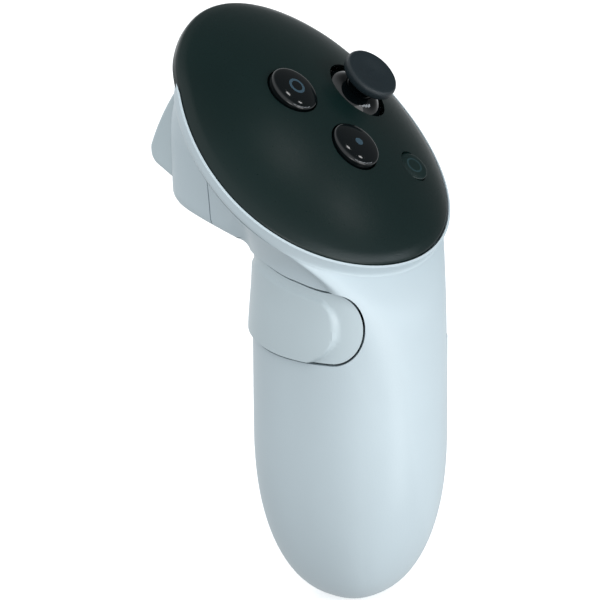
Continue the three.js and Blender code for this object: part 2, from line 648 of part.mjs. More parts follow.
const buttonBoardOutline = polygon([[-17, -22], [23, -22], [23, -5.4], [4.4, -5.4], [4.4, 19.5],
  [-17, 19.5]]);
const mainBoardOutline = polygon([[-20, -25], [22.6, -25], [22.6, 13.2], [-20, 13.2]]);
place(controller, 'button_board', board(buttonBoardOutline, BOARD_H, 1, WALL + 1.8, BOARD_SCREWS), circuit);
place(controller, 'main_board', board(mainBoardOutline, MAIN_BOARD_H, 1, WALL + 1.8), circuit);
place(face, 'board_connector', box(-12, -5, -4, -1, MAIN_BOARD_H + 1 + GAP, BOARD_H - GAP), darkPlastic);
place(face, 'radio_shield', box(-12, 2, -16, -6, MAIN_BOARD_H + 1 + GAP, BOARD_H - 1.4), steel);
place(face, 'tracking_lights', lightStrip(), darkPlastic);
BOARD_SCREWS.forEach(([v, u], i) => {
  place(face, `board_screw_${i + 1}`, screw(0.85, 5.2, 1.7), steel, v, u, BOARD_H - GAP - 1.2);
});

const { x: pivotY, y: pivotZ } = TRIGGER_PIVOT;
place(controller, 'trigger_pin', cylinder(1, -13.7, 13.7).rotateY(Math.PI / 2), steel, 0, pivotY, pivotZ);
place(controller, 'trigger_bracket', triggerBracket(), darkPlastic);
place(controller, 'trigger_sensor', box(0, 6, 22.1, 22.9, 89, 92), darkPlastic);
place(controller, 'trigger_magnet', cylinder(2, 0, 1.2).rotateX(-Math.PI / 2), magnet, 3, 38.6, 94);
place(controller, 'trigger_spring', coil(2.4, 0.6, 13.6, 5).rotateX(-Math.PI / 2), steel, -5, 22.7, 95);
for (const [name, x] of [['left', -SCREW_X], ['right', SCREW_X]]) {
  place(controller, `bracket_screw_${name}`, screw(0.85, 8.6, 1.7), steel, x, 22.4, 80.1);
}

place(controller, 'grip_pin', cylinder(0.9, 54, 72.8), steel, GRIP_PIVOT.x, GRIP_PIVOT.y);
const grip = new THREE.Group();
grip.rotation.z = THREE.MathUtils.degToRad(70);
controller.add(grip);
place(grip, 'grip_sensor_board', box(-5, 5, 9.4, 10.2, 58.5, 72.5), circuit);
place(grip, 'grip_magnet', cylinder(2, 15.1, 16.2).rotateX(-Math.PI / 2), magnet, 1.5, 0, 62);
place(grip, 'grip_spring', coil(2.2, 0.6, 4.5, 3).rotateX(-Math.PI / 2), steel, -3.2, 10.9, 67.5);

place(controller, 'battery_cell', batteryCell(), cellWrap);
place(controller, 'battery_tray', batteryTray(), darkPlastic);
place(controller, 'battery_spring', coil(3, 0.7, 3.1, 3), steel, BATTERY.x, BATTERY.y, BATTERY.low - 3.8);
place(controller, 'battery_contact', box(-4, 4, -4, 4, 0, 0.6), steel,
  BATTERY.x, BATTERY.y, BATTERY.low + BATTERY.length + 0.5);

place(controller, 'haptic_motor', cylinder(5, -6, 6), steel, 5.5, -3, 70);
place(controller, 'strap_bar', cylinder(0.8, -3.3, 3.3).rotateY(Math.PI / 2), steel, 0, 11, 5.5);

export default controller;
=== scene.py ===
import json
import math

import bmesh
import bpy
from mathutils import Matrix, Vector


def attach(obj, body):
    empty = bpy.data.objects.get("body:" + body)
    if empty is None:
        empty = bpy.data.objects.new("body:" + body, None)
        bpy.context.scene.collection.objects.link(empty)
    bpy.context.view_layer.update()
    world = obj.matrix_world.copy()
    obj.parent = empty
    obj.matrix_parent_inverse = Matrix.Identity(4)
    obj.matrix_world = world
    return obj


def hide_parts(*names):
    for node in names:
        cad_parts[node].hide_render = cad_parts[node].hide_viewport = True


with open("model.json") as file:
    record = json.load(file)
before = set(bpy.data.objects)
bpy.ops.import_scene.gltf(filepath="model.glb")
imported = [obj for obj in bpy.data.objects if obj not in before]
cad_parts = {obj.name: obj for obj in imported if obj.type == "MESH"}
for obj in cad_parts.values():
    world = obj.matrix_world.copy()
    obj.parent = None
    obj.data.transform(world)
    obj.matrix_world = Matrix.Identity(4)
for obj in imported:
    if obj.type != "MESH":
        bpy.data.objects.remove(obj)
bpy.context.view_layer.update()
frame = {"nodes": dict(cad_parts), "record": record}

# Shapes are worked out in millimetres, as in the CAD source, and made in metres.
MM = 0.001
GAP = 0.3  # clearance between neighbouring parts
WALL = 2.2
HANDLE_X = 18.4  # half-widths of the handle's section
HANDLE_Y = 20.6
HANDLE_POWER = 2.35  # exponent of its superellipse
TAPER_HEIGHT = 38  # the foot's rounding ends here
TAPER_POWER = 2.3
FOOT_CUT = 0.25
NECK_Z = 74
FACE_TILT = math.radians(46)
FACE_CENTRE = Vector((-1, 5.3, 104.1))
FACE_U = 35.5  # half-length of the face, fore and aft
FACE_V = 34  # half-width
FACE_EGG = 0.09
DROP_U = 5  # how far the dome falls at its front and rear ends
DROP_V = 6.4
CROWN = 0.6  # how far the face stands above its rim, towards the middle
RIM_WIDTH = 0.5  # the shell's lip beside the face plate
RIM_BAND = 2.4
PLATE_THICKNESS = 1.6
CHIN = (40, 84.6)  # y and z of the head's lower front edge
CHIN_HALF_WIDTH = 16
CHIN_POWER = 8
CHIN_SLOPE = 0.29
BROW = 5
SEAM_Y = 24.9
HEAD_CORE = Vector((0, 4, 86))
TRIGGER_HALF_WIDTH = 11.8
TRIGGER_PIVOT = (31.5, 112.5)  # y and z
GRIP_PIVOT = (-11.3, -10.2)  # x and y
GRIP_REACH = 29.1
GRIP_LOW = 56
ARC_PER_DEGREE = 0.345  # length on the handle's surface
BUTTON_RADIUS = 5.55
SYSTEM_RADIUS = 3.5
FLANGE_H = -3.7
STICK_DEPTH = 6.8
SKIRT_RADIUS = 9
DOOR = {"from": -38, "to": -142, "low": 15, "high": 58}
SCREW_X = 9.5
UPPER_BUTTON = (-5, 7.4)  # places on the face: across, and up its slope
LOWER_BUTTON = (1.8, -8.6)
SYSTEM_BUTTON = (18.3, -14.7)
STICK = (15.2, 5.6)
AROUND = 144  # points in each section of the shell
RIM_ROWS = 9  # last points of a profile, which relaxing leaves alone

CARD_DIRECTION = (0.74, -0.23, 0.64)  # where the face mirrors the camera to
SHADE_DIRECTION = (-0.82, 0.55, -0.1)  # the studio's dim side
FACE_MATRIX = Matrix.Translation(FACE_CENTRE) @ Matrix.Rotation(FACE_TILT, 4, "X")


# Meshes
def smoothstep(value, low, high):
    t = min(max((value - low) / (high - low), 0), 1)
    return t * t * (3 - 2 * t)


def mesh_object(name, points, faces):
    """A new object from points in millimetres."""
    mesh = bpy.data.meshes.new(name)
    mesh.from_pydata([p * MM for p in points], [], faces)
    mesh.validate()
    obj = bpy.data.objects.new(name, mesh)
    bpy.context.scene.collection.objects.link(obj)
    return obj


def loft(name, rings):
    """A closed body through rings that run anticlockwise seen from the last ring."""
    count = len(rings[0])
    points = [p for ring in rings for p in ring]
    faces = []
    for i in range(len(rings) - 1):
        for j in range(count):
            a, b = i * count + j, i * count + (j + 1) % count
            faces.append((a, b, b + count, a + count))
    top = (len(rings) - 1) * count
    faces.append(tuple(reversed(range(count))))
    faces.append(tuple(range(top, top + count)))
    return mesh_object(name, points, faces)


def around(point_at, count=AROUND):
    return [point_at(2 * math.pi * i / count) for i in range(count)]


def turned(name, profile, sides=96):
    """A round body about the local Z axis from [radius, height] points that start and end on it."""
    rings = [[Vector((r * math.cos(2 * math.pi * i / sides), r * math.sin(2 * math.pi * i / sides), z))
              for i in range(sides)] for r, z in profile[1:-1]]
    if profile[0][1] > profile[-1][1]:
        rings.reverse()
    return loft(name, rings)


def block(name, low, high):
    x0, y0, z0 = low
    x1, y1, z1 = high
    section = [(x0, y0), (x1, y0), (x1, y1), (x0, y1)]
    return loft(name, [[Vector((x, y, z)) for x, y in section] for z in (z0, z1)])


def side_block(name, outline, half_width):
    """A body with an outline in the Y-Z plane, run anticlockwise seen from +X."""
    return loft(name, [[Vector((x, y, z)) for y, z in outline] for x in (-half_width, half_width)])


def curve(start, control, end, steps):
    """Points of a quadratic curve, without its start."""
    found = []
    for i in range(1, steps + 1):
        t = i / steps
        found.append((1 - t) ** 2 * Vector(start) + 2 * t * (1 - t) * Vector(control) + t * t * Vector(end))
    return found


def moved(obj, matrix):
    """Moves an object's mesh by a matrix in millimetres."""
    scaled = matrix.copy()
    scaled.translation = matrix.translation * MM
    obj.data.transform(scaled)
    return obj


def on_face(obj, place=(0, 0), height=0):
    v, u = place
    return moved(obj, FACE_MATRIX @ Matrix.Translation((v, u, height)))


def combine(obj, operation, *others):
    """Cuts, joins or intersects other bodies with this one, and uses them up."""
    for other in others:
        modifier = obj.modifiers.new(operation.lower(), "BOOLEAN")
        modifier.operation = operation
        modifier.solver = "MANIFOLD"
        modifier.object = other
        evaluated = obj.evaluated_get(bpy.context.evaluated_depsgraph_get())
        obj.data = bpy.data.meshes.new_from_object(evaluated)
        obj.modifiers.clear()
        bpy.data.objects.remove(other)
    return obj


def cut(obj, *others):
    return combine(obj, "DIFFERENCE", *others)


def copy_of(obj, name):
    twin = obj.copy()
    twin.data = obj.data.copy()
    twin.name = name
    bpy.context.scene.collection.objects.link(twin)
    return twin


def soften(obj, width=0.0, segments=3, angle=35):
    """Smooth shading, with rounded edges where the surface turns by more than the angle."""
    limit = math.radians(angle)
    bm = bmesh.new()
    bm.from_mesh(obj.data)
    bmesh.ops.remove_doubles(bm, verts=bm.verts, dist=2e-6)
    for face in bm.faces:
        face.smooth = True
    for edge in bm.edges:
        edge.smooth = len(edge.link_faces) == 2 and edge.calc_face_angle() < limit
    bm.to_mesh(obj.data)
    bm.free()
    if width:
        bevel = obj.modifiers.new("rounded_edges", "BEVEL")
        bevel.width = width * MM
        bevel.segments = segments
        bevel.limit_method = "ANGLE"
        bevel.angle_limit = limit
        bevel.harden_normals = True
    normals = obj.modifiers.new("even_shading", "WEIGHTED_NORMAL")
    normals.keep_sharp = True
    return obj


# The body's surface. Angles run from +Y, the front, towards -X, the left.
def signed_power(value, power):
    return math.copysign(abs(value) ** power, value)


def taper(z):
    depth = min(max((z + FOOT_CUT) / TAPER_HEIGHT, 0), 1)
    return (1 - (1 - depth) ** TAPER_POWER) ** (1 / TAPER_POWER)


def handle_point(angle, z, inset=0):
    shrink = taper((z - inset) * TAPER_HEIGHT / (TAPER_HEIGHT - inset) if inset > 0 else z)
    return Vector((
        -(HANDLE_X - inset) * shrink * signed_power(math.sin(angle), 2 / HANDLE_POWER),
        (HANDLE_Y - inset) * shrink * signed_power(math.cos(angle), 2 / HANDLE_POWER),
        z,
    ))


def dome_height(place, crown=CROWN):
    """Height of the face at (v, u), with the crown that rolls off near the rim."""
    v, u = place
    reach = min(math.hypot(u / FACE_U, v / FACE_V), 1)
    return -DROP_U * (u / FACE_U) ** 2 - DROP_V * (v / FACE_V) ** 2 + crown * (1 - reach ** 9)


def face_point(angle, inset, height, reach=1):
    u = (FACE_U - inset) * math.cos(angle) * reach
    v = -(FACE_V - inset) * math.sin(angle) * (1 - FACE_EGG * math.cos(angle)) * reach
    crown = CROWN if reach < 1 else 0
    return Vector((v, u, dome_height((v, u), crown) + height))


def lipless(angle):
    """1 along the face's front edge, where the shell has no lip and turns in under the plate."""
    return smoothstep(math.cos(angle), 0.4, 0.68)


def rounded_corner(before, at, after, trim, trim_after, steps):
    into = at.lerp(before, min(trim / (at - before).length, 0.9))
    out = at.lerp(after, min(trim_after / (at - after).length, 0.62))
    return [into] + curve(into, at, out, steps)


def flare_profile(angle, inset, height):
    """The head's side at one angle, from the handle to the rim."""
    c = math.cos(angle)
    neck_height = NECK_Z + (6.2 if c > 0 else -14) * c * c + 1.5 * (1 - c * c) ** 2
    neck = handle_point(angle, neck_height, inset)
    rim = FACE_MATRIX @ face_point(angle, inset, height)
    under_rim = FACE_MATRIX @ face_point(angle, 0.1 + 2 * lipless(angle), -RIM_BAND)
    along = (handle_point(angle, neck_height) - under_rim).normalized()
    inwards = HEAD_CORE - under_rim
    inwards = (inwards - along * inwards.dot(along)).normalized()
    under_rim += inwards * inset

    heading = math.atan2(rim.x, rim.y)
    across = abs(math.sin(heading) / (CHIN_HALF_WIDTH - inset)) ** CHIN_POWER
    ahead = abs(math.cos(heading) / (CHIN[0] - inset)) ** CHIN_POWER
    reach = (across + ahead) ** (-1 / CHIN_POWER)
    chin_y = reach * math.cos(heading)
    chin = Vector((reach * math.sin(heading), chin_y, CHIN[1] + inset - CHIN_SLOPE * (CHIN[0] - chin_y)))
    frontness = smoothstep(math.cos(heading), 0.4, 0.8)
    rearness = smoothstep(-c, 0.3, 0.95)
    corner = neck.lerp(under_rim, 0.75 + 0.15 * rearness).lerp(chin, frontness)
    brow = corner.lerp(under_rim, 0.5)
    brow.y += BROW * smoothstep(math.cos(heading), 0.7, 0.95)

    start = handle_point(angle, max(neck.z - 10 - 15 * rearness, TAPER_HEIGHT + 1), inset)
    neck_trim = 1.5 + 2.5 * frontness + 18 * rearness
    return [
        start,
        *rounded_corner(start, neck, corner, neck_trim, 4 + 20 * (1 - frontness), 20),
        *rounded_corner(neck, corner, brow, 3, 3, 6),
        *rounded_corner(corner, brow, under_rim, 5, 5, 6),
        *rounded_corner(brow, under_rim, rim, 2.5, 1.2, 6),
        rim,
    ]


def relaxed(profiles, passes=24):
    """Profiles around the body, evened out over its sides and rear, where the head meets the handle."""
    count = len(profiles)
    shares = [0.5 * (1 - smoothstep(c, -0.05, 0.4)) for c in around(math.cos)]
    for _ in range(passes):
        before = profiles
        profiles = [list(profile) for profile in before]
        for i, share in enumerate(shares):
            if not share:
                continue
            beside, other = before[i - 1], before[(i + 1) % count]
            for j in range(1, len(profiles[i]) - RIM_ROWS):
                even = (before[i][j - 1] + before[i][j + 1] + beside[j] + other[j]) / 4
                profiles[i][j] = before[i][j].lerp(even, share)
    return profiles


def body_rings(inset, height):
    rings = []
    for i in range(25):
        z = inset + (TAPER_HEIGHT - inset) * (1 - math.cos(math.pi * i / 48))
        rings.append(around(lambda a: handle_point(a, z, inset)))
    flare = relaxed(around(lambda a: flare_profile(a, inset, height)))
    rings += [[profile[i] for profile in flare] for i in range(len(flare[0]))]
    rings.append(around(lambda a: FACE_MATRIX @ face_point(a, inset, height, 0.6)))
    return rings


def dome_slab(name, inset_at, low, high, edge=0.0):
    """A slab that follows the face's dome; its upper edge is rounded by the given radius."""
    reaches = [0.02 + 0.98 * (i / 24) ** 0.7 for i in range(25)]
    rings = [around(lambda a: face_point(a, inset_at(a), low, reach)) for reach in reaches]
    bevel = [k * math.pi / 8 for k in range(5)] if edge else [math.pi / 2]
    for k in bevel:
        rings.append(around(lambda a: face_point(a, inset_at(a) + edge * (1 - math.cos(k)),
                                                 high - edge * (1 - math.sin(k)))))
    for reach in reversed(reaches[:-1]):
        rings.append(around(lambda a: face_point(a, inset_at(a) + edge, high, reach)))
    return loft(name, rings)


def recess_inset(angle):
    return RIM_WIDTH - (RIM_WIDTH + 1.5) * lipless(angle)


def plate_inset(angle):
    return (RIM_WIDTH + GAP) * (1 - lipless(angle))


# Patches of the handle's wall
def wall_point(degrees, z, inset):
    angle = math.radians(degrees)
    return handle_point(angle, z) + Vector((math.sin(angle), -math.cos(angle), 0)) * inset


def wall_patch(name, columns, outer, inner, rows=72):
    """Columns of (angle in degrees, low, high) run towards smaller angles."""
    rings = []
    for angle, low, high in columns:
        heights = [low + (high - low) * j / rows for j in range(rows + 1)]
        out = [wall_point(angle, z, outer(angle, z)) for z in heights]
        back = [wall_point(angle, z, inner) for z in heights]
        rings.append(out + back[::-1])
    return loft(name, rings)


def grip_top(angle):
    return 70.8 + 4.8 * smoothstep(113 - angle, 0, 62)


def grip_low(angle):
    return GRIP_LOW + 3.9 * smoothstep(100 - angle, 0, 75)


def grip_bulge(angle, z):
    """Inset of the grip button's surface: a raised pad inside a border that sinks towards the top."""
    rear_edge = 119 - 17 * abs((z - 63.3) / 7.5) ** 2.4
    from_rear = (rear_edge - angle) * ARC_PER_DEGREE
    from_top = grip_top(angle) - 1.2 - z
    forward = smoothstep(115 - angle, 0, 22)
    from_front = smoothstep(angle, 18, 40)
    upness = smoothstep(z, 57, 74)
    border = 0.15 + 0.3 * upness * forward * from_front
    pad = (1.2 - 0.7 * upness) * from_front * smoothstep(min(from_rear, from_top), 0, 1.4)
    return border - pad


def grip_patch(name, last, grow, outer, inner):
    """The grip button's patch, with a round rear end."""
    first, radius, arc = 134.6 + grow * 3, 7.4 + grow, 19.8
    columns = []

    def add_column(angle, share):
        low = grip_low(angle) - grow * (1 + smoothstep(100 - angle, 0, 40))
        high = grip_top(angle) + grow
        middle, half = (low + high) / 2, (high - low) / 2 * share
        columns.append((angle, middle - half, middle + half))

    steps = 18
    for i in range(1, steps + 1):
        s = math.pi / 2 * i / steps
        add_column(first - math.degrees(radius * (1 - math.cos(s)) / arc), math.sin(s))
    start = columns[-1][0]
    steps = 160
    for i in range(1, steps + 1):
        add_column(start + (last - start) * i / steps, 1)
    return wall_patch(name, columns, outer, inner)


def door_patch(name, grow, outer, inner):
    first, last = DOOR["from"] + grow * 3, DOOR["to"] - grow * 3
    steps = 48
    columns = [(first + (last - first) * i / steps, DOOR["low"] - grow, DOOR["high"] + grow)
               for i in range(steps + 1)]
    return wall_patch(name, columns, lambda angle, z: outer, inner)


def rod(name, radius, low, high, centre=(0, 0), sides=48):
    body = turned(name, [(0, low), (radius, low), (radius, high), (0, high)], sides)
    return moved(body, Matrix.Translation((*centre, 0)))


def cross_rod(name, radius, half_length, y, z):
    """A rod along X."""
    body = rod(name, radius, -half_length, half_length)
    return moved(body, Matrix.Translation((0, y, z)) @ Matrix.Rotation(math.pi / 2, 4, "Y"))


# Pieces
def body_wall():
    outer = loft("body", body_rings(0, 0))
    cavity = loft("cavity", body_rings(WALL + 0.3, 1))
    recess = on_face(dome_slab("recess", recess_inset, -PLATE_THICKNESS - GAP, 3))
    return cut(outer, cavity, recess)


def front_block(shift):
    return block("front_block", (-40, SEAM_Y + shift, 70), (40, 60, 150))


def handle_shell(wall):
    shell = copy_of(wall, "handle_shell_cover")
    grip_opening = grip_patch("grip_opening", 1, GAP + 0.2, lambda angle, z: -5, 5)
    swing = rod("swing", GRIP_REACH + GAP, 40, 90, GRIP_PIVOT, 96)
    combine(grip_opening, "INTERSECT", swing)
    holes = [rod("screw_hole", 2, 70, 81.6, (x, 22.4)) for x in (-SCREW_X, SCREW_X)]
    strap_pocket = block("strap_pocket", (-3.7, 9.2, 3.6), (3.7, 22, 7.4))
    cut(shell, front_block(0), grip_opening, door_patch("door_opening", GAP, -5, 5), strap_pocket, *holes)
    return soften(shell)


def front_housing(wall):
    y, z = TRIGGER_PIVOT
    slot = TRIGGER_HALF_WIDTH + 0.4
    housing = combine(wall, "INTERSECT", front_block(GAP))
    housing.name = "front_housing_cover"
    window = block("window", (-slot, 28, 86), (slot, 60, z + 2.5))
    cut(housing, window, cross_rod("knuckle_room", 3.5, slot, y, z))
    return soften(housing)


def face_plate():
    plate = dome_slab("face_plate_cover", plate_inset, -PLATE_THICKNESS, 0, edge=0.5)
    for place, radius in ((UPPER_BUTTON, BUTTON_RADIUS + 0.35), (LOWER_BUTTON, BUTTON_RADIUS + 0.35),
                          (SYSTEM_BUTTON, SYSTEM_RADIUS + 0.2)):
        cut(plate, rod("hole", radius, -9, 3, place, 96))
    recess = turned("recess", [(0, -4), (9, -4), (7.4, 0), (7, 0.6), (7, 3), (0, 3)])
    cut(plate, moved(recess, Matrix.Translation((*STICK, dome_height(STICK)))))
    return soften(on_face(plate), width=0.15, angle=30)


def face_button(name, place, radius, rise):
    edge = 0.5 * rise
    steps = 16
    turns = [math.pi / 2 * k / steps for k in range(steps, 0, -1)]
    crown = [(radius * math.sin(a), edge + (rise - edge) * math.cos(a)) for a in turns]
    profile = [(0, FLANGE_H), (radius, FLANGE_H), *crown, (0, rise)]
    return soften(on_face(turned(name, profile), place, dome_height(place, 0)))


def on_stick(obj):
    return on_face(obj, STICK, dome_height(STICK, 0) - STICK_DEPTH)


def stick_cap():
    edge = [(5.5 + 0.8 * math.sin(a), 12.2 - 0.8 * math.cos(a)) for a in (0, 0.4, 0.8, 1.2, 1.57)]
    shoulder = [(5.5 + 0.8 * math.cos(a), 12.8 + 0.9 * math.sin(a)) for a in (0.1, 0.4, 0.8, 1.2, 1.5)]
    dish = [(r, 13.25 + 0.45 * smoothstep(r, 0.5, 5)) for r in (4.9, 4.2, 3.4, 2.6, 1.8, 1)]
    profile = [(0, 11.7), (3.6, 11.7), (4, 11.4), *edge, *shoulder, *dish, (0, 13.25)]
    return soften(on_stick(turned("thumbstick_cap_cover", profile)), angle=50)


def stick_skirt():
    steps = 20
    angles = [math.radians(22 + (71 - 22) * i / steps) for i in range(steps + 1)]
    outer = [(SKIRT_RADIUS * math.sin(a), SKIRT_RADIUS * math.cos(a)) for a in angles]
    inner = [((SKIRT_RADIUS - 1.1) * math.sin(a), (SKIRT_RADIUS - 1.1) * math.cos(a)) for a in angles]
    ring = outer[::-1] + inner
    sides = 96
    points, faces = [], []
    for i in range(sides):
        turn = 2 * math.pi * i / sides
        points += [Vector((r * math.cos(turn), r * math.sin(turn), z)) for r, z in ring]
    count = len(ring)
    for i in range(sides):
        for j in range(count):
            a, b = i * count, (i + 1) % sides * count
            k = (j + 1) % count
            faces.append((a + j, b + j, b + k, a + k))
    return soften(on_stick(mesh_object("thumbstick_skirt_cover", points, faces)), angle=50)


def stick_stem():
    profile = [(0, -2.7), (0.9, -2.7), (0.9, -1.2), (1.5, -1), (1.5, 6), (2.6, 7), (3.2, 7.6), (3.2, 11.3),
               (0, 11.3)]
    return soften(on_stick(turned("thumbstick_stem_cover", profile)))


def trigger():
    y, z = TRIGGER_PIVOT
    knuckle = [(y + 3 * math.cos(a), z + 3 * math.sin(a))
               for a in (math.pi * (0.5 + 0.7 * i / 12) for i in range(13))]
    outline = [Vector((y + 5.2, z - 1.6))]
    outline += curve(outline[-1], (y + 3.6, z + 3), (y, z + 3), 8)
    outline += [Vector(p) for p in knuckle[1:]]
    outline += [Vector((y + 0.5, z - 11)), Vector((y + 6, z - 25.4)), Vector((y + 10, z - 23.4)),
                Vector((y + 13.4, z - 21.6))]
    outline += curve(outline[-1], (y + 16, z - 20.4), (y + 15.6, z - 17.2), 8)
    outline += curve(outline[-1], (y + 12.3, z - 9.2), (y + 5.2, z - 1.6), 16)[:-1]
    lever = side_block("trigger_cover", outline, TRIGGER_HALF_WIDTH)
    pocket = [(y - 4, z - 9), (y - 4, z - 22.4), (y + 6.6, z - 22.4), (y + 9.4, z - 21.2),
              (y + 12.6, z - 19.4), (y + 12.6, z - 17.4), (y + 6, z - 9)]
    cut(lever, side_block("pocket", pocket, TRIGGER_HALF_WIDTH - 1.8))
    return soften(lever, width=0.9, segments=5, angle=30)


def grip_button():
    pad = grip_patch("grip_button_cover", 17, 0, grip_bulge, WALL)
    combine(pad, "INTERSECT", rod("swing", GRIP_REACH, 40, 90, GRIP_PIVOT, 96))
    return soften(pad, width=0.3, angle=40)


def battery_door():
    return soften(door_patch("battery_door_cover", 0, 0, WALL), width=0.2, angle=40)


# Materials
def new_material(name):
    material = bpy.data.materials.new(name)
    material.use_nodes = True
    return material, material.node_tree.nodes, material.node_tree.links


def plastic(name, colour, roughness, grain=0.02, grain_scale=2600, mottle=0.04, metallic=0.0,
            specular=0.5):
    """Moulded material with a fine grain, slight colour drift and uneven roughness."""
    material, nodes, links = new_material(name)
    shader = nodes["Principled BSDF"]
    place = nodes.new("ShaderNodeTexCoord").outputs["Object"]

    drift = nodes.new("ShaderNodeTexNoise")
    drift.inputs["Scale"].default_value = 45
    drift.inputs["Detail"].default_value = 4
    links.new(place, drift.inputs["Vector"])
    shades = nodes.new("ShaderNodeValToRGB")
    for stop, factor in zip(shades.color_ramp.elements, (1 - mottle, 1 + mottle)):
        stop.color = (*[min(c * factor, 1) for c in colour], 1)
    shades.color_ramp.elements[0].position = 0.35
    shades.color_ramp.elements[1].position = 0.65
    links.new(drift.outputs["Fac"], shades.inputs["Fac"])
    links.new(shades.outputs["Color"], shader.inputs["Base Color"])

    fine = nodes.new("ShaderNodeTexNoise")
    fine.inputs["Scale"].default_value = grain_scale
    fine.inputs["Detail"].default_value = 6
    links.new(place, fine.inputs["Vector"])
    gloss = nodes.new("ShaderNodeMapRange")
    gloss.inputs["To Min"].default_value = max(roughness - 0.06, 0.02)
    gloss.inputs["To Max"].default_value = roughness + 0.06
    links.new(fine.outputs["Fac"], gloss.inputs["Value"])
    links.new(gloss.outputs["Result"], shader.inputs["Roughness"])
    bump = nodes.new("ShaderNodeBump")
    bump.inputs["Strength"].default_value = grain
    bump.inputs["Distance"].default_value = 0.0004
    links.new(fine.outputs["Fac"], bump.inputs["Height"])
    links.new(bump.outputs["Normal"], shader.inputs["Normal"])

    shader.inputs["Metallic"].default_value = metallic
    shader.inputs["Specular IOR Level"].default_value = specular
    return material


def inlay(material, place, inner, outer, colour):
    """A ring, or a dot when inner is 0, inlaid round a place on the face."""
    nodes, links = material.node_tree.nodes, material.node_tree.links
    shader = nodes["Principled BSDF"]
    flat = nodes.new("ShaderNodeMapping")
    flat.vector_type = "TEXTURE"
    flat.inputs["Location"].default_value = FACE_MATRIX @ Vector((*place, 0)) * MM
    flat.inputs["Rotation"].default_value = (FACE_TILT, 0, 0)
    flat.inputs["Scale"].default_value = (MM, MM, MM)
    links.new(nodes.new("ShaderNodeTexCoord").outputs["Object"], flat.inputs["Vector"])
    across = nodes.new("ShaderNodeVectorMath")
    across.operation = "MULTIPLY"
    across.inputs[1].default_value = (1 / BUTTON_RADIUS, 1 / BUTTON_RADIUS, 0)
    links.new(flat.outputs["Vector"], across.inputs[0])
    radius = nodes.new("ShaderNodeVectorMath")
    radius.operation = "LENGTH"
    links.new(across.outputs["Vector"], radius.inputs[0])
    ring = nodes.new("ShaderNodeValToRGB")
    ring.color_ramp.interpolation = "CONSTANT"
    stops = ring.color_ramp.elements
    stops[0].color = (0, 0, 0, 1)
    stops[1].position = outer / BUTTON_RADIUS
    stops[1].color = (0, 0, 0, 1)
    stops.new(inner / BUTTON_RADIUS).color = (1, 1, 1, 1)
    links.new(radius.outputs["Value"], ring.inputs["Fac"])
    mix = nodes.new("ShaderNodeMix")
    mix.data_type = "RGBA"
    links.new(ring.outputs["Color"], mix.inputs["Factor"])
    links.new(shader.inputs["Base Color"].links[0].from_socket, mix.inputs["A"])
    mix.inputs["B"].default_value = (*colour, 1)
    links.new(mix.outputs["Result"], shader.inputs["Base Color"])
    return material


def srgb(red, green, blue):
    """Scene-linear colour from eight-bit display values."""
    return tuple(((c / 255 + 0.055) / 1.055) ** 2.4 for c in (red, green, blue))


FINISHES = {
    "shell": plastic("shell", srgb(186, 199, 205), 0.36, grain=0.05, mottle=0.015),
    "control_white": plastic("control_white", srgb(185, 198, 203), 0.32, grain=0.03, mottle=0.015),
    "face": plastic("face", srgb(12, 30, 29), 0.3, grain=0.05, mottle=0.06, specular=0.25),
    "face_button": plastic("face_button", srgb(15, 33, 32), 0.34, grain=0.05, mottle=0.06, specular=0.25),
    "gloss_black": plastic("gloss_black", srgb(7, 13, 15), 0.07, grain=0.004, mottle=0.05, specular=0.4),
    "stick_rubber": plastic("stick_rubber", srgb(22, 33, 38), 0.42, grain=0.12, mottle=0.08, specular=0.3),
    "inner_plastic": plastic("inner_plastic", srgb(34, 36, 38), 0.5, grain=0.08),
    "silicone": plastic("silicone", srgb(150, 155, 158), 0.55, grain=0.04),
    "steel": plastic("steel", srgb(170, 173, 176), 0.3, grain=0.05, metallic=1),
    "spring_steel": plastic("spring_steel", srgb(150, 152, 156), 0.25, grain=0.05, metallic=1),
    "screw_steel": plastic("screw_steel", srgb(120, 123, 126), 0.35, grain=0.06, metallic=1),
    "magnet": plastic("magnet", srgb(165, 168, 172), 0.15, grain=0.02, metallic=1),
    "circuit_board": plastic("circuit_board", srgb(20, 84, 52), 0.3, grain=0.06, grain_scale=900,
                             mottle=0.2),
    "cell_wrap": plastic("cell_wrap", srgb(52, 104, 150), 0.2, grain=0.01),
}
MARK = srgb(52, 72, 84)
inlay(FINISHES["gloss_black"], UPPER_BUTTON, 1.3, 1.9, MARK)
inlay(FINISHES["gloss_black"], LOWER_BUTTON, 0, 0.9, MARK)
inlay(FINISHES["face_button"], SYSTEM_BUTTON, 1.5, 1.9, srgb(34, 54, 57))
SLOT_OF = {part["node"]: part["material_slot"] for part in frame["record"]["subparts"]}


def paint(obj, slot):
    obj.data.materials.clear()
    obj.data.materials.append(FINISHES[slot])


def stand_for(obj, node, body):
    """A finished piece takes its CAD node's place, body and finish."""
    paint(obj, SLOT_OF[node])
    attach(obj, body)
    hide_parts(node)


# Scene
wall = body_wall()
stand_for(handle_shell(wall), "handle_shell", "handle")
stand_for(front_housing(wall), "front_housing", "handle")
stand_for(face_plate(), "face_plate", "handle")
stand_for(trigger(), "trigger", "trigger")
stand_for(grip_button(), "grip_button", "grip")
stand_for(battery_door(), "battery_door", "battery_door")
for node, place, radius, rise in (("upper_button", UPPER_BUTTON, BUTTON_RADIUS, 2.3),
                                  ("lower_button", LOWER_BUTTON, BUTTON_RADIUS, 2.3),
                                  ("system_button", SYSTEM_BUTTON, SYSTEM_RADIUS, 0.95)):
    stand_for(face_button(f"{node}_cover", place, radius, rise), node, node)
stand_for(stick_cap(), "thumbstick_cap", "stick")
stand_for(stick_skirt(), "thumbstick_skirt", "stick")
stand_for(stick_stem(), "thumbstick_stem", "stick")

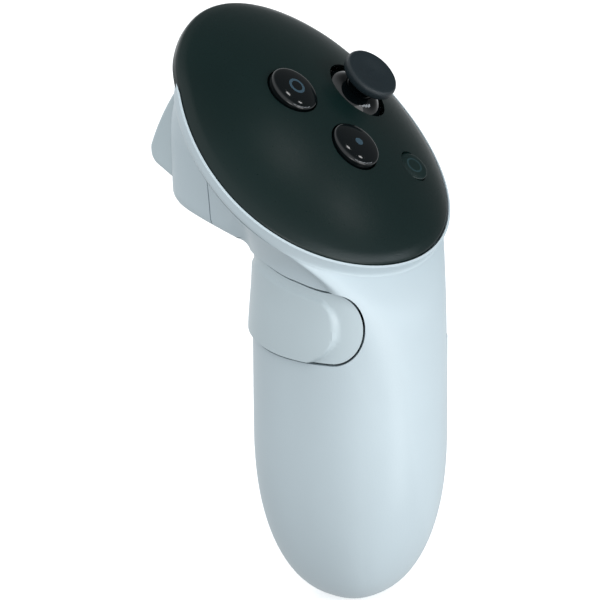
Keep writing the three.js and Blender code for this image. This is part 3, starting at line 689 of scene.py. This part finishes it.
for node, obj in frame["nodes"].items():
    if not obj.hide_render:
        paint(obj, SLOT_OF[node])


# Stage, lights and camera
def add_floor():
    size = 6
    mesh = bpy.data.meshes.new("floor")
    bm = bmesh.new()
    bmesh.ops.create_grid(bm, x_segments=2, y_segments=2, size=size)
    bm.to_mesh(mesh)
    bm.free()
    floor = bpy.data.objects.new("floor", mesh)
    bpy.context.scene.collection.objects.link(floor)
    paper = plastic("floor", (0.9, 0.9, 0.9), 0.9, grain=0, mottle=0, specular=0)
    shader = paper.node_tree.nodes["Principled BSDF"]
    shader.inputs["Emission Color"].default_value = (1, 1, 1, 1)
    shader.inputs["Emission Strength"].default_value = 0.5
    floor.data.materials.append(paper)
    floor.visible_diffuse = False
    floor.visible_glossy = False


def add_area_light(name, place, target, size, power, colour=(1, 1, 1)):
    light = bpy.data.lights.new(name, "AREA")
    light.shape = "RECTANGLE"
    light.size, light.size_y = size
    light.energy = power
    light.color = colour
    obj = bpy.data.objects.new(name, light)
    bpy.context.scene.collection.objects.link(obj)
    obj.location = place
    obj.rotation_euler = (Vector(target) - Vector(place)).to_track_quat("-Z", "Y").to_euler()


def add_camera():
    azimuth, elevation, roll = math.radians(-48.8), math.radians(12.1), math.radians(-0.4)
    back = Vector((math.sin(azimuth) * math.cos(elevation), -math.cos(azimuth) * math.cos(elevation),
                   math.sin(elevation)))
    data = bpy.data.cameras.new("camera")
    data.lens = 144
    data.shift_x, data.shift_y = -0.021, -0.048
    camera = bpy.data.objects.new("camera", data)
    bpy.context.scene.collection.objects.link(camera)
    camera.location = Vector((0, 0.0104, 0.07)) + 0.514 * back
    turn = back.to_track_quat("Z", "Y") @ Matrix.Rotation(roll, 3, "Z").to_quaternion()
    camera.rotation_euler = turn.to_euler()
    bpy.context.scene.camera = camera


def map_range(nodes, links, source, span, to):
    """A smooth step of a socket's value from one span to another."""
    node = nodes.new("ShaderNodeMapRange")
    node.interpolation_type = "SMOOTHSTEP"
    node.inputs["From Min"].default_value, node.inputs["From Max"].default_value = span
    node.inputs["To Min"].default_value, node.inputs["To Max"].default_value = to
    links.new(source, node.inputs["Value"])
    return node.outputs["Result"]


def set_world():
    """A pale studio, dimmer towards the floor and the left, with a dark card that the face mirrors."""
    world = bpy.data.worlds.new("studio")
    bpy.context.scene.world = world
    world.use_nodes = True
    nodes, links = world.node_tree.nodes, world.node_tree.links
    direction = nodes.new("ShaderNodeTexCoord").outputs["Generated"]
    axes = nodes.new("ShaderNodeSeparateXYZ")
    links.new(direction, axes.inputs["Vector"])
    light = map_range(nodes, links, axes.outputs["Z"], (-1, 0.5), (0.6, 1.3))
    for towards, span, dimmed in ((CARD_DIRECTION, (0.55, 0.85), 0.12),
                                  (SHADE_DIRECTION, (0.2, 0.95), 0.66)):
        aim = nodes.new("ShaderNodeVectorMath")
        aim.operation = "DOT_PRODUCT"
        links.new(direction, aim.inputs[0])
        aim.inputs[1].default_value = towards
        shade = map_range(nodes, links, aim.outputs["Value"], span, (1, dimmed))
        product = nodes.new("ShaderNodeMath")
        product.operation = "MULTIPLY"
        links.new(light, product.inputs[0])
        links.new(shade, product.inputs[1])
        light = product.outputs["Value"]
    links.new(light, nodes["Background"].inputs["Strength"])
    nodes["Background"].inputs["Color"].default_value = (0.95, 0.98, 1, 1)


add_floor()
add_area_light("key", (0.17, -0.83, 0), (0, 0, 0.06), (0.4, 0.8), 2.5)
add_area_light("fill", (-0.42, -0.8, 0.12), (0, 0, 0.06), (0.4, 0.4), 1.8)
for place in curve((0.02, -0.8, 0.6), (0.4, -0.965, 0.33), (0.74, -0.63, 0.26), 5):
    add_area_light("edge", place, (0, 0, 0.1), (0.16, 0.08), 0.3, (0.85, 0.93, 1))
for place in ((0.36, -0.34, 0.73), (0.46, -0.45, 0.57)):
    add_area_light("pane", place, (0, 0, 0.1), (0.06, 0.06), 0.12)
add_camera()
set_world()
bpy.context.scene.view_settings.view_transform = "Standard"
